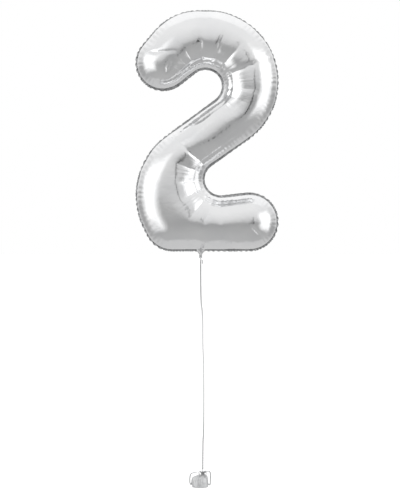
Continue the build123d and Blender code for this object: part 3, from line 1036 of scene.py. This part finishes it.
def puckered(points, normals):
    """Short puckers side by side along the outer seams, and a bunched rim along the hollows."""
    flat = points[:, [0, 2]] / MM
    along, off = along_and_off(flat, seam_outline)
    wander = np.array([noise.noise(Vector((s / 60.0, 0.0, 4.0))) for s in along])
    deep = np.array([0.75 + 0.5 * noise.noise(Vector((s / 45.0, 7.0, 0.0))) for s in along])
    wave = np.abs(np.sin(math.pi * along / PUCKER_LENGTH + 2.2 * wander)) - 0.6
    reach = off / 6.0
    outer = outer_share(flat)
    raised = PUCKER_DEPTH * deep * wave * reach * np.exp(1 - reach) * outer
    bunch = np.abs(np.sin(math.pi * along / BUNCH_LENGTH + 3.0 * wander)) - 0.5
    rim = RIM_HEIGHT * bunch * np.exp(-(((off - RIM_PLACE) / RIM_WIDTH) ** 2))
    groove = GROOVE_DEPTH * deep * np.exp(-(((off - GROOVE_PLACE) / GROOVE_WIDTH) ** 2))
    raised += (rim - groove) * (1 - outer)
    return points + normals * (raised * MM)[:, None]


def vertex_normals(points, faces):
    """The outward direction at each point, from the faces round it."""
    triangles = np.array([(f[0], f[k], f[k + 1]) for f in faces for k in range(1, len(f) - 1)])
    a, b, c = (points[triangles[:, k]] for k in range(3))
    flat = np.cross(b - a, c - a)
    normals = np.zeros_like(points)
    for k in range(3):
        np.add.at(normals, triangles[:, k], flat)
    return normals / np.maximum(np.linalg.norm(normals, axis=1), 1e-12)[:, None]


# %% [markdown]
# ## The welded edge
# Outside the seam the two films lie flat on each other for 7 mm, where they were pressed together and cut.
# The film inside pulls on that band, so its cut line is scalloped and waves to the front and back. The band
# is three rows of faces, grown outward from the panel's own open edge, so that it can't come apart from the
# panel.


# %% The welded edge
SEAM_WIDTH = 7.0
BAND_ROWS = (0.34, 0.67, 1.0)
SCALLOP = 0.28  # share of the width
SCALLOP_DRIFT = 2.9 * MM
FILM_GAP = 0.08 * MM


def open_edges(faces):
    """Directed edges that only one face uses, as a dictionary from a point to the next."""
    seen = set()
    for face in faces:
        for pair in zip(face, face[1:] + face[:1]):
            seen.add(pair)
    return {here: there for here, there in seen if (there, here) not in seen}


def with_welded_edge(points, faces, side):
    """Adds the flat band outside the seam. side is -1 for the front panel and 1 for the back."""
    following = open_edges(faces)
    loop = [next(iter(following))]
    while following[loop[-1]] != loop[0]:
        loop.append(following[loop[-1]])
    ring = points[loop]
    tangent = np.roll(ring, -1, 0) - np.roll(ring, 1, 0)
    outward = np.stack([tangent[:, 2], np.zeros(len(ring)), -tangent[:, 0]], 1)
    middle_of_figure = ring.mean(0)
    if np.sum(outward * (ring - middle_of_figure)) < 0:
        outward = -outward
    outward /= np.linalg.norm(outward, axis=1)[:, None]
    along = np.concatenate([[0.0], np.cumsum(np.linalg.norm(np.diff(ring, axis=0), axis=1))]) / MM
    wander = np.array([noise.noise(Vector((s / 60.0, 0.0, 4.0))) for s in along])
    wave = np.sin(2 * math.pi * along / PUCKER_LENGTH + 4.4 * wander)
    strength = 0.3 + 0.7 * outer_share(ring[:, [0, 2]] / MM)
    all_points, all_faces, previous = [points], list(faces), np.array(loop)
    count = len(points)
    for share in BAND_ROWS:
        width = SEAM_WIDTH * MM * share * (0.84 + SCALLOP * wave * strength)
        drift = SCALLOP_DRIFT * share * wave * strength + side * FILM_GAP
        new = ring + outward * width[:, None] + np.array([0.0, 1.0, 0.0]) * drift[:, None]
        all_points.append(new)
        numbers = np.arange(count, count + len(new))
        for i in range(len(loop)):
            k = (i + 1) % len(loop)
            all_faces.append((previous[k], previous[i], numbers[i], numbers[k]))
        previous = numbers
        count += len(new)
    return np.vstack(all_points), [tuple(int(n) for n in face) for face in all_faces]


def give_weld(panel, first):
    """The faces from number first on get the weld's finish, whose darker colour is painted shade."""
    panel.data.materials.append(weld_film_painted_shade)
    for polygon in panel.data.polygons[first:]:
        polygon.material_index = 1


# %% [markdown]
# ## The two panels
# The front and the back of the balloon are cut alike, but the film never folds twice in the same way. The
# back takes its own half of the skin, has its folds a fifth shallower, and shares nothing with the front
# but the seam's line.

# %% Both panels
BACK_SHARE = 0.8  # how deep the back's folds are beside the front's


def make_panel(name, numbers, triangles, share, side):
    """One panel from its half of the skin: folded, divided, puckered and given its welded edge."""
    points = skin_points[numbers]
    normals = vertex_normals(points, [tuple(t) for t in triangles])
    points = points - normals * (fold_depths(share) * MM)[:, None]
    points, faces = subdivided(name, points, triangles, fold_edges)
    points = puckered(points, vertex_normals(points, faces))
    inner_faces = len(faces)
    points, faces = with_welded_edge(points, faces, side)
    panel = new_object(name, points, faces)
    panel.data.materials.append(silver_film)
    give_weld(panel, inner_faces)
    return panel


front_panel = make_panel("front_panel", np.arange(len(film_flat)), film_triangles, 1.0, -1)
back_panel = make_panel("back_panel", to_back, film_triangles[:, ::-1], BACK_SHARE, 1)
for panel in (front_panel, back_panel):
    area = sum(p.area for p in panel.data.polygons)
    print(panel.name, len(panel.data.polygons), "faces", round(area, 3), "square metres")

# %% [markdown]
# ## The filling neck
# The two panels run on below the bottom seam as a narrow tube through which the balloon is filled. The
# ribbon draws it together, so its film lies in pleats, and a few millimetres flare out below. Its sections
# go down from the seam: each has a height, half its width, half its depth and how deep its pleats are.

# %% The neck
NECK_X = 2.1 * MM
NECK_SECTIONS = [
    (841.0, 17.0, 5.0, 0.0),
    (835.0, 15.5, 5.2, 0.04),
    (830.0, 12.5, 4.8, 0.1),
    (823.0, 7.6, 3.8, 0.2),
    (817.0, 4.5, 2.0, 0.3),
    (814.5, 3.8, 1.3, 0.3),
    (808.0, 3.8, 1.3, 0.3),
    (806.5, 5.2, 2.0, 0.35),
    (804.5, 7.2, 2.6, 0.5),
]


def make_neck(around=96, sections=34):
    """A pleated tube through the sections, open at both ends."""
    heights = np.linspace(NECK_SECTIONS[0][0], NECK_SECTIONS[-1][0], sections)
    table = np.array(NECK_SECTIONS)[::-1]
    points = []
    for i, z in enumerate(heights):
        half_width, half_depth, pleat = (np.interp(z, table[:, 0], table[:, k]) for k in (1, 2, 3))
        for k in range(around):
            angle = 2 * math.pi * k / around
            fold = 1 + pleat * (abs(math.sin(4.5 * angle + 0.4)) - 0.6)
            fold += 0.1 * pleat * math.sin(11 * angle + 0.1 * i)
            x = NECK_X + half_width * fold * math.cos(angle) * MM
            points.append((x, half_depth * fold * math.sin(angle) * MM, z * MM))
    neck = new_object("filling_neck", points, tube_faces(around, sections))
    neck.data.materials.append(silver_film)
    return neck


filling_neck = make_neck()
print("neck", len(filling_neck.data.polygons), "faces")

# %% [markdown]
# ## The weight's foil
# A pouch of foil goes round the weighted cup and is gathered over it. Below the shoulder the film lies
# against the cup with shallow upright pleats, which get deeper towards the tie, and above the tie it
# spreads into a ruffle. It could be gathered by the cloth solver, but sections drawn one above the other
# put the pleats where they are wanted. Each section going up has a height, the X of its centre, its radius
# and how deep its pleats are.

# %% The wrap
WRAP_SECTIONS = [
    (0.0, 0.0, 0.5, 0.0),
    (0.1, 0.0, 12.0, 0.01),
    (0.1, 0.0, 25.2, 0.005),
    (0.6, 0.0, 26.5, 0.006),
    (1.6, 0.0, 27.1, 0.01),
    (4.0, 0.0, 27.8, 0.02),
    (10.0, -0.2, 28.2, 0.035),
    (20.0, -0.4, 28.6, 0.04),
    (28.5, -0.3, 28.3, 0.05),
    (34.0, 0.4, 26.6, 0.07),
    (38.0, 2.0, 22.8, 0.1),
    (41.5, 4.8, 16.6, 0.15),
    (44.0, 7.8, 10.4, 0.22),
    (45.4, 9.4, 6.2, 0.26),
    (47.0, 9.8, 4.8, 0.24),
    (49.0, 9.8, 5.2, 0.26),
    (51.0, 9.8, 6.9, 0.3),
    (53.0, 9.8, 8.7, 0.36),
    (55.0, 9.8, 10.4, 0.48),
]
PLEATS = 15


def make_wrap(around=270, sections=84):
    """A pleated pouch through the sections, closed below and open at the ruffle."""
    table = np.array(WRAP_SECTIONS)
    runs = np.concatenate([[0.0], np.cumsum(np.hypot(np.diff(table[:, 0]), np.diff(table[:, 2])))])
    steps = np.linspace(0.0, runs[-1], sections)
    points = []
    for run in steps:
        z, centre, radius, pleat = (np.interp(run, runs, table[:, k]) for k in range(4))
        for k in range(around):
            angle = 2 * math.pi * k / around
            way = Vector((math.cos(angle), math.sin(angle), 0.0))
            wander = 1.6 * noise.noise(way * 1.3 + Vector((0.0, 0.0, run / 40.0)))
            small = noise.noise(way * 9.0 + Vector((0.0, 0.0, run / 9.0)))
            fold = abs(math.sin(PLEATS / 2 * angle + wander)) - 0.62 + 0.35 * small
            out = radius * (1 + pleat * fold) * MM
            lift = 1.2 * MM * max(0.0, (z - 50.0) / 5.0) * small
            points.append((centre * MM + out * way.x, out * way.y, max(0.0, z * MM + lift)))
    base = tuple(range(around))[::-1]
    wrap = new_object("wrap_foil", points, [*tube_faces(around, sections), base])
    wrap.data.materials.append(weight_foil)
    return wrap


weight_wrap = make_wrap()
print("wrap", len(weight_wrap.data.polygons), "faces", [round(v, 4) for v in weight_wrap.dimensions])

# %% [markdown]
# ## The bow
# Six loops of metallised ribbon spring from the tie. Two hang down beside the wrap and four stand above it.
# A loop of ribbon has no corners, so each closed polygon of a few points is cut back again and again until
# it is smooth, and the ribbon's side direction turns a little along it, as a real loop's does.

# %% The bow's loops
GATHER_X = 9.8
GATHER_HEIGHT = 47.0
BOW_WIDTH = 4.6 * MM
BOW_THICKNESS = 0.4 * MM
BOW_CUP = 0.25 * MM
# The corners of a loop's outline: how far out from the tie, and the height, in mm.
HANGING_RIGHT = [
    (7.2, 46.0), (9.5, 52.0), (16.0, 57.5), (25.4, 55.5), (26.6, 46.0), (26.4, 30.0), (26.2, 9.0),
    (20.6, 7.0), (18.7, 14.0), (18.8, 33.0), (14.4, 42.5),
]
HANGING_LEFT = [
    (7.2, 46.2), (14.0, 50.0), (28.0, 52.0), (43.0, 49.0), (46.0, 32.0), (45.2, 12.0), (40.4, 9.6),
    (38.6, 15.0), (38.8, 32.0), (33.0, 41.0), (18.0, 44.8),
]
STANDING_RIGHT = [
    (7.2, 46.2), (10.5, 52.5), (15.5, 57.0), (24.5, 56.0), (25.0, 48.0), (22.0, 38.5),
    (16.0, 41.0), (11.0, 44.5),
]
STANDING_LEFT = [
    (7.2, 46.2), (10.5, 51.5), (16.5, 56.0), (27.0, 55.0), (27.5, 47.0), (24.0, 39.0),
    (17.0, 41.5), (11.0, 44.8),
]
# Each loop's direction from the tie in degrees, counted from the right, and its corners.
LOOPS = {
    "right": (0.0, HANGING_RIGHT),
    "rear_right": (60.0, STANDING_RIGHT),
    "rear_left": (120.0, STANDING_LEFT),
    "left": (180.0, HANGING_LEFT),
    "front_left": (240.0, STANDING_LEFT),
    "front_right": (300.0, STANDING_RIGHT),
}
# How far each loop's ribbon turns about its own line on the way out and down, in degrees.
LOOP_TWISTS = {
    "right": 76,
    "rear_right": 40,
    "rear_left": -35,
    "left": -78,
    "front_left": 35,
    "front_right": -42,
}
TWIST_PLACES = [0.02, 0.14, 0.26, 0.5, 0.62, 0.72]  # shares of the way round a loop
TWIST_SHARES = [0.0, 0.6, 1.0, 1.0, 0.5, 0.0]


def rounded_loop(corners, times=4):
    """A closed polygon with its corners cut back several times."""
    loop = np.array(corners)
    for _ in range(times):
        following = np.roll(loop, -1, 0)
        loop = np.stack([0.75 * loop + 0.25 * following, 0.25 * loop + 0.75 * following], 1).reshape(-1, 2)
    return loop


def make_loop(name, direction, corners):
    """One loop of the bow, which springs from the tie in a direction in degrees."""
    aim = math.radians(direction)
    out = np.array([math.cos(aim), math.sin(aim), 0.0])
    beside = np.array([-math.sin(aim), math.cos(aim), 0.0])
    path, sides = [], []
    flat = rounded_loop(corners)
    for i, (reach, height) in enumerate(flat):
        twist = math.radians(LOOP_TWISTS[name]) * np.interp(i / len(flat), TWIST_PLACES, TWIST_SHARES)
        wander = 0.5 * math.sin(4 * math.pi * i / len(flat) + 2 * aim)
        path.append((np.array([GATHER_X, 0.0, height]) + reach * out + wander * beside) * MM)
        before, after = flat[i - 1], flat[(i + 1) % len(flat)]
        along = np.array([0.0, 0.0, 1.0]) * (after[1] - before[1]) + out * (after[0] - before[0])
        across = np.cross(along / np.linalg.norm(along), beside)
        sides.append(math.cos(twist) * beside + math.sin(twist) * across)
    return strip(f"bow_{name}", path, sides, BOW_WIDTH, BOW_THICKNESS, bow_ribbon, BOW_CUP, closed=True)


loops = {name: make_loop(name, *shape) for name, shape in LOOPS.items()}
print("bow", len(loops), "loops")

# %% [markdown]
# ## The tie
# The gather is tied with the bow's own ribbon. Two closed bands, tipped against each other, stand for its
# turns.

# %% The tie
tie_place = (GATHER_X * MM, 0.0, GATHER_HEIGHT * MM)
tie_low = round_band("tie_low", tie_place, (6.2 * MM, 6.2 * MM), 3.6 * MM, 4, 40, bow_ribbon)
tie_high = round_band("tie_high", tie_place, (6.5 * MM, 6.5 * MM), 3.2 * MM, -6, 130, bow_ribbon)
gather_tie = joined("gather_tie_bands", [tie_low, tie_high])
print("tie", [round(v, 4) for v in gather_tie.dimensions])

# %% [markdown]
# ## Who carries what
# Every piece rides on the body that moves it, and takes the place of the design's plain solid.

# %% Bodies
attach(front_panel, "balloon")
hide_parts("front_foil_panel")
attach(back_panel, "balloon")
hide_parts("back_foil_panel")
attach(filling_neck, "balloon")
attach(neck_turns, "balloon")
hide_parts("neck_wraps")
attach(neck_knot, "neck_knot")
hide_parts("neck_knot")
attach(ribbon_knot, "ribbon_knot")
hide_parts("ribbon_knot")
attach(ribbon_tag, "ribbon_knot")
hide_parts("ribbon_tag_end")
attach(ribbon, "ribbon")
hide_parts("ribbon")
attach(weight_knot, "weight_knot")
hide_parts("weight_knot")
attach(weight_wrap, "weight")
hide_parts("foil_wrap")
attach(gather_tie, "weight")
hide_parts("gather_tie")
for name, loop in loops.items():
    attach(loop, "weight")
    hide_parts(f"bow_loop_{name}")

# %% [markdown]
# ## Light
# A mirror shows the room, so the room matters more than the lamps. The room here has a bright backdrop
# behind the balloon, tall soft boxes at both sides, a pale ceiling, and a darker grey behind the viewer,
# whose own outline shows as a narrow dark streak. A real room could be modelled round the balloon, but a
# world whose brightness depends only on the direction is lighter to render and easy to change. Two helpers
# build it: a ramp and a mix.

# %% Helpers for the room
world = bpy.data.worlds.new("studio")
bpy.context.scene.world = world
world.use_nodes = True
room = world.node_tree


def room_ramp(source, stops):
    """A grey ramp over one part of a direction. A stop is a place on it, from -1 to 1, and a brightness."""
    spread = add_node(room, "MapRange", {"Value": source, "From Min": -1.0}).outputs["Result"]
    ramp = add_node(room, "ValToRGB", {"Fac": spread})
    while len(ramp.color_ramp.elements) < len(stops):
        ramp.color_ramp.elements.new(0.5)
    for element, (place, grey) in zip(ramp.color_ramp.elements, stops):
        element.position = (place + 1.0) / 2.0
        element.color = (grey, grey, grey, 1.0)
    return ramp.outputs["Color"]


def room_mix(kind, factor, first, second):
    """Two greys of the room put together, the second by a factor."""
    inputs = {"Fac": factor, "Color1": first, "Color2": second}
    return add_node(room, "MixRGB", inputs, blend_type=kind).outputs["Color"]


# %% [markdown]
# ## The room
# Each part of the room is a product of ramps: one says how far it reaches to the side, another how far to
# the front or back, a third how high. The parts are then added to a grey that is darkest just below eye
# level and brightest at the ceiling, and the dark streak is taken away. What the camera sees directly is the
# plain white backdrop; only reflections and soft light come from the room.

# %% The room
direction = add_node(room, "TexCoord", {}).outputs["Generated"]
parts = add_node(room, "SeparateXYZ", {"Vector": direction})
HEIGHT_GREYS = [
    (-1.0, 0.5),
    (-0.6, 0.45),
    (-0.2, 0.4),
    (-0.06, 0.44),
    (0.04, 0.62),
    (0.3, 0.78),
    (0.7, 0.9),
    (1.0, 0.94),
]
by_height = room_ramp(parts.outputs["Z"], HEIGHT_GREYS)
behind = room_ramp(parts.outputs["Y"], [(-0.02, 0.0), (0.04, 0.14), (1.0, 0.2)])
behind_middle = room_ramp(parts.outputs["X"], [(-0.8, 0.0), (-0.5, 1.0), (0.5, 1.0), (0.8, 0.0)])
to_the_left = room_ramp(parts.outputs["X"], [(-0.5, 1.0), (-0.3, 0.0)])
left_span = room_ramp(parts.outputs["Y"], [(-0.9, 0.0), (-0.65, 1.0), (-0.1, 1.0), (0.25, 0.0)])
to_the_right = room_ramp(parts.outputs["X"], [(0.5, 0.0), (0.65, 1.0)])
right_span = room_ramp(parts.outputs["Y"], [(-0.8, 0.0), (-0.6, 1.0), (0.0, 1.0), (0.25, 0.0)])
box_height = room_ramp(parts.outputs["Z"], [(-0.6, 0.0), (-0.3, 1.0), (0.3, 1.0), (0.6, 0.0)])
in_front = room_ramp(parts.outputs["Y"], [(-0.2, 1.0), (0.1, 0.0)])
streak = room_ramp(parts.outputs["X"], [(0.26, 0.0), (0.275, 1.0), (0.31, 1.0), (0.325, 0.0)])
streak_height = room_ramp(parts.outputs["Z"], [(-0.3, 0.0), (-0.25, 1.0), (0.25, 1.0), (0.3, 0.0)])
backlit = room_mix("ADD", 1.0, by_height, room_mix("MULTIPLY", 1.0, behind, behind_middle))
left_box = room_mix("MULTIPLY", 1.0, to_the_left, left_span)
right_box = room_mix("MULTIPLY", 1.0, to_the_right, right_span)
boxes = room_mix("MULTIPLY", 1.0, room_mix("ADD", 1.0, left_box, right_box), box_height)
lit_room = room_mix("ADD", 0.8, backlit, boxes)
figure_in_room = room_mix("MULTIPLY", 1.0, room_mix("MULTIPLY", 1.0, streak, streak_height), in_front)
surroundings = room_mix("SUBTRACT", 0.6, lit_room, figure_in_room)
surround = room.nodes["Background"]
room.links.new(surroundings, surround.inputs["Color"])
backdrop = add_node(room, "Background", {"Color": (1.0, 1.0, 1.0, 1.0)})
by_camera = add_node(room, "LightPath", {}).outputs["Is Camera Ray"]
both = {"Fac": by_camera, 1: surround.outputs["Background"], 2: backdrop.outputs["Background"]}
choose = add_node(room, "MixShader", both)
room.links.new(choose.outputs["Shader"], room.nodes["World Output"].inputs["Surface"])
bpy.context.scene.view_settings.view_transform = "Standard"
print("room", len(room.nodes), "nodes")

# %% [markdown]
# ## Soft boxes
# The film takes its light from the room above, but the satin ribbon, the weight and the floor need lamps as
# well. Two upright soft boxes and one overhead give them soft shadows. They are kept out of reflections,
# because the room already has its own bright boxes there.


# %% Soft boxes
def soft_box(name, place, aim, width, height, power):
    """A rectangular lamp at a place, turned towards its aim. Its power is in watts."""
    data = bpy.data.lights.new(name, "AREA")
    data.shape = "RECTANGLE"
    data.size = width
    data.size_y = height
    data.energy = power
    lamp = bpy.data.objects.new(name, data)
    bpy.context.scene.collection.objects.link(lamp)
    lamp.location = place
    lamp.rotation_euler = (Vector(aim) - Vector(place)).to_track_quat("-Z", "Y").to_euler()
    lamp.visible_glossy = False


FIGURE_PLACE = (0.0, 0.0, 1.2)
soft_box("left_box", (-2.2, -0.9, 1.2), FIGURE_PLACE, 0.55, 2.0, 16.0)
soft_box("right_box", (2.2, -0.9, 1.2), FIGURE_PLACE, 0.55, 2.0, 16.0)
soft_box("top_box", (0.0, -0.6, 3.2), FIGURE_PLACE, 2.2, 1.2, 30.0)
print("lamps", ", ".join(sorted(data.name for data in bpy.data.lights)))

# %% [markdown]
# ## Floor
# A very large pale floor meets the backdrop far behind the balloon. It is left out of the reflections,
# which have the room's own lower half.

# %% The floor
FLOOR_LEFT, FLOOR_RIGHT, FLOOR_NEAR, FLOOR_FAR = -300, 300, -20, 260
floor_corners = [
    (FLOOR_LEFT, FLOOR_NEAR, 0),
    (FLOOR_RIGHT, FLOOR_NEAR, 0),
    (FLOOR_RIGHT, FLOOR_FAR, 0),
    (FLOOR_LEFT, FLOOR_FAR, 0),
]
floor = new_object("floor", floor_corners, [(0, 1, 2, 3)], smooth=False)
FLOOR_GLOW = {"Emission_Color": (1.0, 1.0, 1.0, 1.0), "Emission_Strength": 0.22}
floor.data.materials.append(finish("pale_floor", (0.93, 0.93, 0.93), 0.0, 0.9, **FLOOR_GLOW))
floor.visible_glossy = False
print("floor", FLOOR_RIGHT - FLOOR_LEFT, "by", FLOOR_FAR - FLOOR_NEAR, "metres")
